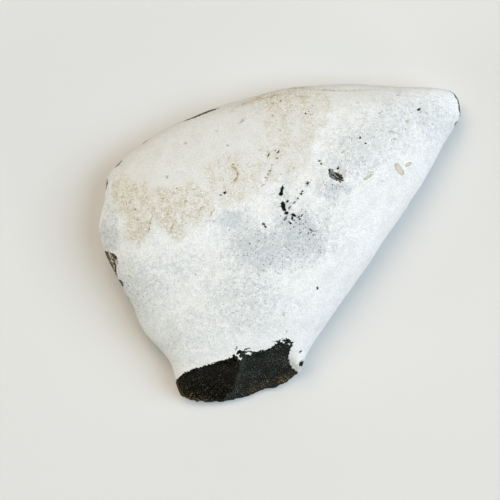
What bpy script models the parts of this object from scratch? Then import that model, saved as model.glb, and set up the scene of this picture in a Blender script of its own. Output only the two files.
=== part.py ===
"""Flint nodule: a flattened, water-worn lump of flint in its chalky cortex, broken off at one end.

The stone is one solid. It lies on a small flat spot of its underside, with its broad domed side up.
+X runs along its longest side, +Y away from the broken end and +Z up. The origin is on the ground, under the
middle of the stone. Lengths below are in millimetres, and MM turns them into Blender's metres.
"""

import math

import bmesh
import bpy
from mathutils import Matrix, Vector, noise
from mathutils.bvhtree import BVHTree

MM = 0.001

# Driving dimensions.
LENGTH = 86.8  # along X, side to side
WIDTH = 76.4  # along Y, broken end to back edge
THICKNESS = 21.0  # at the crown of the dome
CROWN = (-7.0, 3.0)  # the crown of the dome, seen from above

# The outline seen from above, anticlockwise from the tip, as shares of half the length and half the width.
# The last stretch is the end as it was before it broke off.
OUTLINE = (
    (1.006, 0.810),
    (0.996, 0.905),
    (0.948, 0.965),
    (0.850, 0.980),
    (0.630, 0.988),
    (0.340, 1.002),
    (0.095, 0.979),
    (-0.150, 0.920),
    (-0.352, 0.856),
    (-0.484, 0.798),
    (-0.744, 0.641),
    (-0.903, 0.495),
    (-0.962, 0.411),
    (-0.974, 0.264),
    (-1.000, 0.102),
    (-0.960, -0.065),
    (-0.916, -0.162),
    (-0.818, -0.395),
    (-0.758, -0.558),
    (-0.613, -0.746),
    (-0.577, -0.890),
    (-0.541, -0.976),
    (-0.450, -1.100),
    (-0.270, -1.170),
    (-0.050, -1.110),
    (0.080, -0.930),
    (0.166, -0.657),
    (0.341, -0.377),
    (0.631, 0.099),
    (0.775, 0.361),
    (0.968, 0.736),
)

# The height of the rim, where the top turns under: each bearing from the crown in degrees, and its height.
RIM_HEIGHTS = ((0, 7.0), (40, 6.0), (75, 6.5), (120, 6.5), (180, 8.5), (235, 5.5), (270, 3.2), (310, 5.5))

TOP_ROUNDING = 2.25  # 2 is an ellipse, and more is flatter on top and steeper at the rim
UNDER_ROUNDING = 2.1
UNDER_DEPTH = 0.4  # how far the underside would bulge below the ground, had it no flat spot

RINGS = 20  # from the crown to the rim
RING_CROWDING = 1.8  # above 1, the rings crowd towards the rim
RIM_EASING = 60  # passes that ease the small bends out of the outline, for the inner rings
RIM_DETAIL = 12  # the power of the way out with which the inner rings take up the outline's small bends

# Low swells and hollows of the top: centre x and y, half length, half width, turn in degrees, height.
SWELLS = (
    (-8.0, -36.0, 26.0, 14.0, 10.0, -6.5),
    (-24.0, 11.0, 17.0, 10.0, 35.0, 1.1),
    (20.0, 22.0, 22.0, 8.0, 40.0, 1.6),
    (2.0, -14.0, 16.0, 9.0, -50.0, 0.9),
    (8.0, 20.0, 14.0, 6.0, 20.0, -0.8),
    (-20.0, -12.0, 13.0, 9.0, -60.0, -0.7),
    (24.0, 8.0, 12.0, 5.0, 55.0, -0.6),
)

# The step down from the rough upper left of the top to its smoother lower right.
LEDGE_FROM = (-38.0, -2.0)
LEDGE_TO = (12.0, 23.0)
LEDGE_HEIGHT = 0.55
LEDGE_RUN = 1.6  # how far it takes to step down

# Natural unevenness: wavelength and height of each size of lump.
LUMPS = ((17.0, 0.55), (7.0, 0.22))
LUMPS_FROM = 4.0  # the height above the ground at which they reach their full size
LUMPS_AT = (3.1, 7.7, 1.3)  # which stretch of the noise they are read from

# Where flint has come away, leaving a dished face: the middle of the face's rim, the way it faces, its width
# and height across the rim, and how deep it is dished.
FACES = {
    "left_break": ((-17.4, -34.2, 8.1), (0.065, -0.767, 0.638), 24.0, 22.0, 1.4),
    "right_break": ((-4.2, -31.25, 7.95), (0.243, -0.783, 0.573), 26.0, 26.0, 0.6),
    "left_chip": ((-40.7, -5.5, 10.75), (-0.75, -0.38, 0.54), 12.0, 9.0, 1.0),
    "tip_end_scar": ((43.65, 32.2, 5.0), (0.985, 0.12, 0.12), 8.0, 8.0, 0.3),
    "tip_back_scar": ((41.4, 36.8, 4.6), (0.56, 0.82, 0.08), 10.0, 8.0, 0.3),
    "back_scar": ((-18.7, 31.4, 5.0), (-0.42, 0.90, 0.05), 14.0, 9.0, 0.4),
    "side_nick": ((-42.0, 13.8, 7.6), (-0.97, 0.10, 0.22), 3.2, 3.0, 0.4),
}
FACE_CELLS = 12  # grid cells across each dished face
FACE_REACH = 1.2  # how far a cutter stands out of the stone, as a share of its width
GROUND_DEPTH = 10.0  # half the depth of the block that is cut away below the ground

# Pits in the top: centre x and y, half length, half width, depth, and turn in degrees.
PITS = {
    "dropped_lump_pit": (13.4, 16.4, 2.1, 1.6, 1.1, -35.0),
    "back_pit": (0.4, 12.6, 1.3, 0.5, 0.6, 75.0),
    "middle_pit": (0.8, 8.7, 1.4, 0.6, 0.7, 105.0),
    "front_pit": (3.3, 6.8, 0.8, 0.5, 0.5, 105.0),
    "side_pit": (-3.7, 4.4, 0.7, 0.5, 0.4, -50.0),
}

SHARP_ANGLE = 32.0  # degrees between two faces, past which their edge is drawn sharp
CORTEX_COLOUR = (0.80, 0.78, 0.72, 1.0)
FLINT_COLOUR = (0.035, 0.035, 0.04, 1.0)


def clear_scene():
    """Take away whatever the scene starts with."""
    for thing in list(bpy.data.objects):
        bpy.data.objects.remove(thing, do_unlink=True)


def make_material(name, colour, roughness):
    """A Principled material of one colour."""
    material = bpy.data.materials.new(name)
    material.use_nodes = True
    shader = material.node_tree.nodes["Principled BSDF"]
    shader.inputs["Base Color"].default_value = colour
    shader.inputs["Roughness"].default_value = roughness
    shader.inputs["Metallic"].default_value = 0.0
    return material


def add_object(name, mesh, *materials):
    """Put a finished mesh into the scene as an object with its materials."""
    data = bpy.data.meshes.new(name)
    mesh.to_mesh(data)
    mesh.free()
    for material in materials:
        data.materials.append(material)
    thing = bpy.data.objects.new(name, data)
    bpy.context.scene.collection.objects.link(thing)
    return thing


def add_cutter(name, mesh, place, material):
    """A solid to be cut away: shown as wire only, and kept out of renders."""
    cutter = add_object(name, mesh, material)
    cutter.matrix_world = place
    cutter.hide_render = True
    cutter.display_type = "WIRE"
    return cutter


def outline_point(share):
    """The point at a share (0 to 1) of the way round a smooth closed curve through OUTLINE."""
    place = share * len(OUTLINE)
    first = math.floor(place)
    u = place - first
    a, b, c, d = (
        Vector(OUTLINE[(first + step) % len(OUTLINE)]) for step in (-1, 0, 1, 2)
    )
    shape = 0.5 * (
        2 * b + (c - a) * u + (2 * a - 5 * b + 4 * c - d) * u**2 + (3 * b - a - 3 * c + d) * u**3
    )
    return Vector((shape.x * LENGTH / 2, shape.y * WIDTH / 2))


def smoothed(points, passes):
    """A closed line of points with its small bends eased out."""
    for _ in range(passes):
        points = [
            (points[i - 1] + 2 * point + points[(i + 1) % len(points)]) / 4
            for i, point in enumerate(points)
        ]
    return points


def even_outline(count, fine=40):
    """The outline as points at even spacing, anticlockwise."""
    total = len(OUTLINE) * fine
    dense = [outline_point(i / total) for i in range(total + 1)]
    run = [0.0]
    for before, after in zip(dense, dense[1:]):
        run.append(run[-1] + (after - before).length)
    points = []
    at = 0
    for i in range(count):
        wanted = run[-1] * i / count
        while run[at + 1] < wanted:
            at += 1
        part = (wanted - run[at]) / (run[at + 1] - run[at])
        points.append(dense[at].lerp(dense[at + 1], part))
    return points


def rim_height(x, y):
    """The rim's height on the bearing of a point, eased between the given bearings."""
    bearing = math.degrees(math.atan2(y - CROWN[1], x - CROWN[0])) % 360
    first_bearing, first_height = RIM_HEIGHTS[0]
    ends = RIM_HEIGHTS[1:] + ((first_bearing + 360, first_height),)
    for (start, low), (end, high) in zip(RIM_HEIGHTS, ends):
        if bearing <= end:
            break
    share = (bearing - start) / (end - start)
    return low + (high - low) * (0.5 - 0.5 * math.cos(math.pi * share))


def dome(share, rounding):
    """How high a dome stands, 1 at its crown, at a share of the way out to its rim."""
    return max(0.0, 1 - share**rounding) ** (1 / rounding)


def swell_height(x, y):
    """What the swells, the hollows and the ledge add to the top."""
    height = 0.0
    for at_x, at_y, half_length, half_width, turn, rise in SWELLS:
        cos, sin = math.cos(math.radians(turn)), math.sin(math.radians(turn))
        along = ((x - at_x) * cos + (y - at_y) * sin) / half_length
        across = ((y - at_y) * cos - (x - at_x) * sin) / half_width
        height += rise * math.exp(-(along**2) - across**2)
    start, end = Vector(LEDGE_FROM), Vector(LEDGE_TO)
    along = (end - start).normalized()
    off = Vector((x, y)) - start
    above = along.x * off.y - along.y * off.x
    return height + LEDGE_HEIGHT * (0.5 + 0.5 * math.tanh(above / LEDGE_RUN))


def lump_offset(point):
    """How far a point is pushed out or in by the stone's natural unevenness, less near the ground."""
    share = min(1.0, max(0.0, point.z / LUMPS_FROM))
    return share * sum(
        rise * noise.noise(point / wavelength + Vector(LUMPS_AT)) for wavelength, rise in LUMPS
    )


def ring_place(u, v):
    """How far out and how far round a square grid's point (u, v from -1 to 1) falls, as shares."""
    outward = max(abs(u), abs(v))
    if outward == 0:
        return 0.0, 0.0
    turn = (math.atan2(v, u) / math.tau) % 1.0
    side = (turn * 4 + 0.5) // 1 % 4
    if side == 0:
        round_share = v / outward / 8
    elif side == 1:
        round_share = 0.25 - u / outward / 8
    elif side == 2:
        round_share = 0.5 - v / outward / 8
    else:
        round_share = 0.75 + u / outward / 8
    return 1 - (1 - outward) ** RING_CROWDING, round_share % 1.0


def add_half(mesh, rim, is_top):
    """Add the top or the underside as a square grid drawn out to the outline."""
    made = bmesh.ops.create_grid(mesh, x_segments=2 * RINGS, y_segments=2 * RINGS, size=1.0)
    crown = Vector(CROWN)
    eased_rim = smoothed(rim, RIM_EASING)
    for vert in made["verts"]:
        share, round_share = ring_place(vert.co.x, vert.co.y)
        at = round(round_share * len(rim)) % len(rim)
        flat = crown.lerp(eased_rim[at].lerp(rim[at], share**RIM_DETAIL), share)
        low = rim_height(rim[at].x, rim[at].y)
        if is_top:
            rise = dome(share, TOP_ROUNDING)
            height = low + (THICKNESS - low) * rise + swell_height(flat.x, flat.y) * rise
        else:
            height = low - (low + UNDER_DEPTH) * dome(share, UNDER_ROUNDING)
        vert.co = Vector((flat.x, flat.y, height))
    if not is_top:
        faces = {face for vert in made["verts"] for face in vert.link_faces}
        bmesh.ops.reverse_faces(mesh, faces=list(faces))


def add_stone(cortex, flint):
    """The whole stone, before anything has come away from it."""
    mesh = bmesh.new()
    rim = even_outline(8 * RINGS)
    add_half(mesh, rim, is_top=True)
    add_half(mesh, rim, is_top=False)
    bmesh.ops.remove_doubles(mesh, verts=mesh.verts, dist=0.02)
    bmesh.ops.triangulate(mesh, faces=mesh.faces, quad_method="SHORT_EDGE")
    mesh.normal_update()
    pushed = [vert.co + vert.normal * lump_offset(vert.co) for vert in mesh.verts]
    for vert, place in zip(mesh.verts, pushed):
        vert.co = place * MM
    stone = add_object("flint_nodule", mesh, cortex, flint)
    stone.data.shade_smooth()
    stone.data.set_sharp_from_angle(angle=math.radians(SHARP_ANGLE))
    return stone


def facing_matrix(at, facing):
    """A place whose own Z points along facing and whose own X is level."""
    out = Vector(facing).normalized()
    level = Vector((0, 0, 1)).cross(out).normalized()
    up = out.cross(level)
    axes = Matrix((level, up, out)).transposed().to_4x4()
    return Matrix.Translation(Vector(at) * MM) @ axes


def add_face_cutter(name, at, facing, width, height, dish, flint):
    """A block with a bulging underside, which leaves a dished face where it cuts."""
    mesh = bmesh.new()
    bmesh.ops.create_grid(mesh, x_segments=FACE_CELLS, y_segments=FACE_CELLS, size=1.0)
    bottom = list(mesh.verts)
    drawn = bmesh.ops.extrude_face_region(mesh, geom=list(mesh.faces))
    top = [item for item in drawn["geom"] if isinstance(item, bmesh.types.BMVert)]
    for vert in bottom:
        vert.co = Vector((vert.co.x, vert.co.y, dish * (vert.co.x**2 + vert.co.y**2 - 1)))
    for vert in top:
        vert.co.z = width * FACE_REACH
    for vert in mesh.verts:
        vert.co = Vector((vert.co.x * width / 2, vert.co.y * height / 2, vert.co.z)) * MM
    bmesh.ops.recalc_face_normals(mesh, faces=mesh.faces)
    return add_cutter(name, mesh, facing_matrix(at, facing), flint)


def add_pit_cutter(name, surface, x, y, half_length, half_width, depth, turn, flint):
    """A lump whose middle lies on the stone's top, which leaves a rounded pit where it cuts."""
    middle = surface.ray_cast(Vector((x, y, 2 * THICKNESS)) * MM, Vector((0, 0, -1)))[0]
    mesh = bmesh.new()
    bmesh.ops.create_icosphere(mesh, subdivisions=3 if half_length > 1.5 else 2, radius=1.0)
    for vert in mesh.verts:
        vert.co = Vector((vert.co.x * half_length, vert.co.y * half_width, vert.co.z * depth)) * MM
    place = Matrix.Translation(middle) @ Matrix.Rotation(math.radians(turn), 4, "Z")
    return add_cutter(name, mesh, place, flint)


def add_ground_cutter(cortex):
    """The block below the ground, which leaves the flat spot that the stone rests on."""
    mesh = bmesh.new()
    bmesh.ops.create_cube(mesh, size=2.0)
    for vert in mesh.verts:
        vert.co = Vector((vert.co.x * LENGTH, vert.co.y * WIDTH, (vert.co.z - 1) * GROUND_DEPTH)) * MM
    return add_cutter("ground", mesh, Matrix.Identity(4), cortex)


def cut(stone, cutter):
    """Take a cutter's shape out of the stone."""
    modifier = stone.modifiers.new(cutter.name, "BOOLEAN")
    modifier.operation = "DIFFERENCE"
    modifier.solver = "EXACT"
    modifier.material_mode = "TRANSFER"
    modifier.object = cutter


def main():
    """Build the stone and take away what has broken or worn off it."""
    clear_scene()
    cortex = make_material("Chalky flint cortex", CORTEX_COLOUR, 0.9)
    flint = make_material("Bare black flint", FLINT_COLOUR, 0.3)
    stone = add_stone(cortex, flint)
    for name, sizes in FACES.items():
        cut(stone, add_face_cutter(name, *sizes, flint))
    surface = BVHTree.FromPolygons(
        [vert.co for vert in stone.data.vertices], [face.vertices for face in stone.data.polygons]
    )
    for name, sizes in PITS.items():
        cut(stone, add_pit_cutter(name, surface, *sizes, flint))
    cut(stone, add_ground_cutter(cortex))


main()
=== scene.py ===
"""Looks of a flint nodule: chalk-white cortex, a stained rough patch, pits and a fresh dark break."""

import logging
import math
from dataclasses import dataclass, field
from enum import Enum

import bpy
import numpy as np
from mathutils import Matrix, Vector, noise
from mathutils.bvhtree import BVHTree


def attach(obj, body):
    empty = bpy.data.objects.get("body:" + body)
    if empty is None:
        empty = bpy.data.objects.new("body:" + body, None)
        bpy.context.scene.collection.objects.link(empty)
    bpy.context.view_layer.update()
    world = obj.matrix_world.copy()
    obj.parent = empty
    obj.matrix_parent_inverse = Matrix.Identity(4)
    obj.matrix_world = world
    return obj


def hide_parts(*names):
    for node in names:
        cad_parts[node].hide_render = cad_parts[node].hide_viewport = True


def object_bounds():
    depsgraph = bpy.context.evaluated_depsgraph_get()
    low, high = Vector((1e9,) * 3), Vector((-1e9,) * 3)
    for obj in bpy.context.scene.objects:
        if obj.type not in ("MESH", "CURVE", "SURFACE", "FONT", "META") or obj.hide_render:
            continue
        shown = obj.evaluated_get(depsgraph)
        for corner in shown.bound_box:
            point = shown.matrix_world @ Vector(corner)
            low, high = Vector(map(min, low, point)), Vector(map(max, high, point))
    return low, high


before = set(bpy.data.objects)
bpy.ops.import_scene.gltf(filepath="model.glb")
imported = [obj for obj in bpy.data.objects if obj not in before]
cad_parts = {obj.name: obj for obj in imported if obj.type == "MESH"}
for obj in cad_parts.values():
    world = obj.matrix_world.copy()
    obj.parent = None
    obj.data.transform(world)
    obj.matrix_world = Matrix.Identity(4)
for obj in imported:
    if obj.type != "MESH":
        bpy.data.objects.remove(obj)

CAD_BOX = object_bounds()
MM = 0.001  # metres in a millimetre; the stone is described in millimetres
NODE = "flint_nodule"
BODY = "root"
LOG = logging.getLogger("flint")
EYE_MIDDLE = (-7.15, -1.63)  # the eye that the marks are laid out for stands above this point
EYE_LEVEL = 6.0  # height of the plane that they are laid out on
EYE_RISE = 550.0  # from that plane up to the eye
FAR_OUTSIDE = -2.0  # a field needn't say more than that a point is this far outside
SMALL_SHAKE = ((1.7, 0.22), (4.0, 0.12))  # how fine each wave of a shake is, and its reach
BROAD_SHAKE = ((0.45, 1.0),)
Socket = bpy.types.NodeSocket
Paint = Socket | str  # a colour's socket, or the colour as #rrggbb


class Layer(Enum):
    """What the fields that the stone's mesh carries say, each a number at every point."""

    FLINT = "bare_flint"  # millimetres inside bare flint, negative on the cortex
    # the blue-grey of that half of the break is a painted reflection
    COOL_BREAK = "cool_break"  # millimetres into the blue-grey half of the fresh break
    WARM_BREAK = "warm_break"  # share of the break's brown lower edge
    OLD_SCAR = "old_scar"  # share of a weathered, olive grey scar
    # the amber painted on such edges is painted light shining through them
    THIN_EDGE = "thin_edge"  # share of a flint edge thin enough to let light through
    CHIP = "chipped_cortex"  # millimetres inside a chip that shows streaky grey-brown flint
    CREAM = "cream_cortex"  # millimetres inside the smooth cream cortex
    STAIN = "beige_stain"  # share of the rough beige stain
    MOTTLE = "grey_mottle"  # share of the blue-grey mottled chalk
    PEPPER = "dark_pepper"  # share of the chalk that is peppered with dark pinholes
    PIT = "dark_pits"  # millimetres inside a dark pit
    SHELL = "shell_bits"  # millimetres inside a buff shell fragment
    GREY = "grey_marks"  # millimetres inside a grey smudge
    BROWN = "brown_marks"  # millimetres inside a brown speck or crease


class Skin(Enum):
    """The kinds of face that the solid has."""

    LEFT_BREAK = "left_break"
    RIGHT_BREAK = "right_break"
    OLD_SCAR = "old_scar"
    FLINT = "flint"  # the three above together
    CORTEX = "cortex"


class Ground(Enum):
    """What a grade of relief is pressed into."""

    CORTEX = "cortex"
    STAIN = "stain"
    FLINT = "flint"


@dataclass(frozen=True)
class Spot:
    """An oval on the stone as seen from above, in millimetres.

    x and y are its middle, long and wide half its length and half its width, turn its degrees from +X.
    """

    x: float
    y: float
    long: float
    wide: float
    turn: float = 0.0
    strength: float = 1.0

    def depth_inside(self, points: np.ndarray) -> np.ndarray:
        """How far each point lies inside the oval.

        Args:
            points: places in millimetres, one row each.

        Returns:
            1 at the middle, 0 on the outline and negative outside.
        """
        turn = math.radians(self.turn)
        right, up = points[:, 0] - self.x, points[:, 1] - self.y
        along = right * math.cos(turn) + up * math.sin(turn)
        across = up * math.cos(turn) - right * math.sin(turn)
        return 1.0 - np.hypot(along / self.long, across / self.wide)


@dataclass(frozen=True)
class Patch:
    """An area on the stone as seen from above, inside a closed outline of points in millimetres."""

    outline: tuple[tuple[float, float], ...]
    strength: float = 1.0

    def depth_inside(self, points: np.ndarray) -> np.ndarray:
        """How far each point lies inside the outline.

        Args:
            points: places in millimetres, one row each.

        Returns:
            Millimetres to the outline, positive inside and negative outside.
        """
        corners = np.array(self.outline)
        place = points[:, :2]
        nearest = np.full(len(place), np.inf)
        inside = np.zeros(len(place), bool)
        for start, end in zip(corners, np.roll(corners, -1, axis=0)):
            run = end - start
            share = np.clip((place - start) @ run / (run @ run), 0, 1)
            nearest = np.minimum(nearest, np.linalg.norm(place - start - share[:, None] * run, axis=1))
            crosses = (start[1] > place[:, 1]) != (end[1] > place[:, 1])
            rise = np.where(run[1] == 0, 1e-9, run[1])
            inside ^= crosses & (place[:, 0] < start[0] + (place[:, 1] - start[1]) / rise * run[0])
        return np.where(inside, nearest, -nearest)


@dataclass(frozen=True)
class EdgeFlint:
    """Bare flint that shows along the stone's edge, in millimetres.

    spot is its plan, level the height of its middle and rise its half height.
    """

    spot: Spot
    level: float
    rise: float = 1.3

    def depth_inside(self, points: np.ndarray) -> np.ndarray:
        """How far each point lies inside the bare flint.

        Args:
            points: places in millimetres.

        Returns:
            Millimetres, positive inside and negative outside.
        """
        in_plan = 1.0 - self.spot.depth_inside(points)
        off_level = (points[:, 2] - self.level) / self.rise
        return (1.0 - np.hypot(in_plan, off_level)) * min(self.spot.wide, self.rise)


Area = Spot | Patch | EdgeFlint


@dataclass(frozen=True)
class Scar:
    """A face that a blow left on the stone, in millimetres, as the solid has it."""

    middle: tuple[float, float, float]
    facing: tuple[float, float, float]
    width: float
    height: float
    dish: float

    def holds(self, points: np.ndarray, tolerance: float) -> np.ndarray:
        """Which points lie on this face.

        Args:
            points: places in millimetres, one row each.
            tolerance: how far off the dished face a point may be.

        Returns:
            True for each point on the face.
        """
        out = np.array(Vector(self.facing).normalized())
        level = np.array(Vector((0, 0, 1)).cross(Vector(out)).normalized())
        up = np.cross(out, level)
        from_middle = points - np.array(self.middle)
        share = np.hypot(from_middle @ level / (self.width / 2), from_middle @ up / (self.height / 2))
        return np.abs(from_middle @ out - self.dish * (share ** 2 - 1)) < tolerance


FRESH_LEFT = Scar((-17.4, -34.2, 8.1), (0.065, -0.767, 0.638), 24.0, 22.0, 1.4)
FRESH_RIGHT = Scar((-4.2, -31.25, 7.95), (0.243, -0.783, 0.573), 26.0, 26.0, 0.6)
OLD_SCARS = (
    Scar((43.65, 32.2, 5.0), (0.985, 0.12, 0.12), 8.0, 8.0, 0.3),
    Scar((41.4, 36.8, 4.6), (0.56, 0.82, 0.08), 10.0, 8.0, 0.3),
    Scar((-18.7, 31.4, 5.0), (-0.42, 0.90, 0.05), 14.0, 9.0, 0.4),
    Scar((-42.0, 13.8, 7.6), (-0.97, 0.10, 0.22), 3.2, 3.0, 0.4),
)
RIND_POINT = (4.85, -23.2)  # where the chalk rind right of the break meets the flank above it
RIND_HEIGHT = 12.3  # of the flank at that point
RIND_SLOPE = (-0.66, 0.56)  # of the flank there, along x and along y
LIP_REACH = (  # x, and how far the break's lower lip stands out beyond the solid's there
    (-28.0, -26.0, -20.0, -17.0, -14.5, -13.0, -11.0, -8.0, -5.0, -2.5, 0.0, 2.0, 3.5, 5.0),
    (0.6, 1.3, 1.3, 1.1, 0.6, 0.1, 0.5, 0.7, 0.4, 0.7, 1.2, 1.0, 0.4, 0.0),
)

CREAM_PATCH = Patch((
    (-42.4, 22.4), (-40.3, 18.0), (-40.0, 15.2), (-40.3, 10.4), (-39.1, 7.5), (-37.9, 6.8), (-37.4, 2.0),
    (-35.5, 0.0), (-31.6, -0.9), (-30.4, 1.5), (-29.2, 2.4), (-26.4, 0.8), (-24.4, -0.2), (-22.5, 0.8),
    (-20.8, 2.4), (-18.0, 4.4), (-16.0, 7.0), (-15.1, 8.7), (-12.4, 8.4), (-10.0, 8.9), (-7.2, 10.6),
    (-5.0, 12.8), (-2.8, 14.4), (-0.2, 14.9), (2.7, 15.6), (5.1, 17.3), (6.8, 20.0), (8.0, 23.3),
    (8.9, 26.9), (11.1, 29.8), (14.9, 31.7), (21.6, 33.6), (28.8, 35.6), (36.0, 38.7), (4.8, 41.6),
    (-31.2, 32.0),
))
STAIN_PATCHES = (  # a broad faint one, the crusty one on the left, and the streaks and flecks up the middle
    Patch((
        (-8, 36), (12, 36), (14, 32), (10, 27), (9, 23), (6, 17), (-3, 13), (-9, 8.6), (-15.5, 9.5),
        (-18.5, 18.5), (-12, 23), (-7, 22), (-5, 27),
    ), 0.72),
    Patch((
        (-40.5, 15.2), (-38.8, 15.9), (-37.4, 17.1), (-36.0, 15.2), (-34.5, 14.4), (-32.8, 15.9),
        (-31.6, 14.2), (-29.2, 13.5), (-26.4, 13.5), (-24.4, 14.4), (-21.6, 15.2), (-19.2, 14.2),
        (-16.3, 12.8), (-15.6, 10.4), (-16.0, 7.5), (-18.0, 5.1), (-20.4, 3.6), (-21.8, 4.6), (-22.3, 1.7),
        (-24.0, 0.0), (-25.9, 1.5), (-27.6, 2.9), (-29.2, 4.1), (-30.4, 7.0), (-30.9, 3.6), (-31.9, 0.8),
        (-33.6, -0.7), (-36.0, 0.0), (-37.4, 2.0), (-37.6, 5.6), (-39.1, 7.5), (-40.5, 10.4),
    )),
    Patch((
        (-17.7, 19.2), (-16.3, 20.0), (-14.6, 18.5), (-15.1, 16.4), (-15.3, 13.2), (-17.5, 13.7),
        (-17.7, 17.1),
    ), 0.9),
    Patch((
        (-13.9, 20.4), (-12.0, 21.6), (-9.3, 22.1), (-8.8, 20.7), (-10.5, 20.0), (-9.6, 17.8), (-9.8, 15.4),
        (-11.0, 13.7), (-13.2, 12.8), (-14.8, 13.7), (-14.1, 17.6),
    ), 0.9),
    Patch((
        (-15.3, 12.8), (-10.8, 14.2), (-7.2, 14.7), (-4.8, 15.9), (-3.3, 18.3), (-1.9, 21.4), (0.3, 23.1),
        (3.2, 22.6), (2.0, 20.4), (0.0, 18.5), (-1.9, 15.9), (-4.3, 13.5), (-7.2, 11.1), (-9.6, 9.2),
        (-12.4, 8.7), (-15.3, 9.4),
    ), 0.9),
    Patch((
        (-8.1, 34.6), (-5.7, 36.3), (-2.4, 37.0), (2.4, 37.7), (7.2, 37.0), (12.0, 35.6), (12.3, 33.4),
        (9.9, 34.4), (8.0, 34.6), (7.7, 32.4), (8.9, 29.6), (7.5, 27.9), (6.0, 29.8), (4.6, 32.0),
        (2.9, 32.2), (2.7, 30.0), (3.4, 27.2), (3.4, 25.0), (1.5, 24.0), (-0.2, 25.7), (0.3, 28.6),
        (-0.9, 29.8), (-2.8, 27.4), (-4.5, 25.7), (-5.0, 27.9), (-3.3, 30.8), (-4.5, 32.2), (-6.2, 33.2),
        (-9.6, 32.2), (-12.4, 31.2), (-12.7, 32.0), (-10.0, 33.4),
    )),
    Patch((
        (0.7, 28.1), (3.1, 26.9), (3.1, 24.7), (1.4, 24.5), (-1.4, 23.8), (-3.4, 23.3), (-1.9, 25.2),
        (1.0, 26.2),
    )),
    Patch(((6.0, 30.2), (8.2, 31.7), (7.9, 29.3), (6.5, 26.9), (5.3, 27.8)), 0.8),
    Patch(((5.8, 16.9), (5.5, 18.1), (3.8, 16.9), (2.4, 15.7), (4.1, 15.2)), 0.8),
    Patch((
        (-2.6, 19.0), (-1.0, 20.6), (0.8, 22.6), (0.0, 20.2), (-1.9, 17.6), (-3.4, 15.2), (-4.1, 15.7),
    ), 0.9),
)
FRESH_BREAK = Patch((
    (-25.9, -34.3), (-25.2, -33.4), (-24.2, -32.2), (-23.2, -31.2), (-21.1, -30.3), (-18.7, -29.6),
    (-16.8, -29.0), (-14.8, -28.4), (-12.4, -27.7), (-10.8, -27.1), (-9.6, -25.6), (-7.4, -25.8),
    (-6.0, -26.0), (-4.2, -25.6), (-2.8, -25.3), (-1.6, -24.7), (-0.9, -23.6), (0.8, -23.1), (2.4, -23.0),
    (3.2, -24.0), (2.3, -26.0), (2.1, -27.3), (2.2, -28.5), (2.8, -29.5), (3.3, -30.2), (4.2, -30.9),
    (4.6, -32.1), (2.0, -34.0), (-0.2, -35.2), (-2.8, -35.7), (-5.7, -36.4), (-8.4, -37.6), (-10.0, -38.1),
    (-12.9, -38.8), (-16.8, -39.1), (-19.9, -39.3), (-23.2, -38.8), (-25.4, -37.4), (-26.4, -35.5),
))
BREAK_PARTING = (  # y, and x of the line between the break's two halves there
    (-37.3, -35.2, -32.7, -30.9, -28.6, -25.0), (-13.4, -11.0, -10.7, -9.8, -9.6, -9.2),
)
# painted light shining through these thin flint edges
THIN_RIMS = (  # amber edges: left and below on the break, and outside on the left chip
    Patch((
        (-25.3, -32.6), (-25.3, -34.0), (-24.8, -35.2), (-23.6, -36.9), (-21.7, -38.1), (-19.2, -38.4),
        (-16.3, -38.6), (-16.3, -37.6), (-19.2, -37.4), (-21.1, -37.1), (-22.5, -36.3), (-23.6, -35.2),
        (-24.2, -33.9), (-24.4, -32.6),
    )),
    Patch((
        (-43.6, -1.2), (-41.3, -1.4), (-40.8, -2.8), (-40.4, -4.0), (-39.9, -5.0), (-39.6, -5.8),
        (-39.3, -6.6), (-39.1, -7.4), (-38.6, -8.6), (-41.2, -8.6), (-42.8, -6.0), (-44.2, -3.2),
    )),
)
CHIPS = (  # the one in the cortex and the one on the left edge
    Patch((
        (11.4, 18.1), (12.2, 17.9), (13.3, 17.2), (13.9, 17.0), (14.6, 16.7), (15.0, 16.2), (15.4, 15.6),
        (15.1, 15.2), (15.2, 14.8), (14.5, 14.5), (13.8, 14.9), (12.8, 15.2), (12.2, 15.7), (11.7, 16.5),
        (11.6, 17.3),
    )),
    Patch((
        (-43.4, -1.4), (-41.5, -1.9), (-40.3, -2.3), (-39.2, -2.9), (-38.9, -4.3), (-39.3, -5.6),
        (-39.2, -6.6), (-39.0, -8.2), (-40.3, -8.3), (-41.5, -6.0), (-43.4, -3.6),
    )),
)
MOTTLES = (  # blue-grey patches
    Spot(4.8, 2.0, 7.5, 7.0, 0, 0.85), Spot(-4.3, -1.6, 9.7, 6.3, 0, 0.8),
    Spot(-10.8, 5.1, 6.5, 3.4, 0, 0.7), Spot(1.2, 10.4, 2.9, 6.0, 0, 0.5),
    Spot(19.7, 22.4, 11.1, 7.2, 30, 0.55), Spot(27, 28, 10, 7, 40, 0.5), Spot(-40.8, 1.2, 2.4, 5.3, 0, 0.7),
    Spot(-39.8, 9.2, 1.6, 7.0, 0, 0.5), Spot(-33.6, -11.2, 9.4, 8.2, 0, 0.5),
    Spot(-8.4, -13.6, 10.6, 8.2, 0, 0.5), Spot(36.0, 29.6, 6.3, 5.8, 0, 0.55),
    Spot(13.2, 12.8, 4.3, 2.9, 0, 0.7), Spot(-20.4, -20.8, 9.6, 7.0, 0, 0.35), Spot(-24, -6, 9, 5, 0, 0.4),
    Spot(12, 4, 6, 8, 0, 0.3),
)
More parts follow.
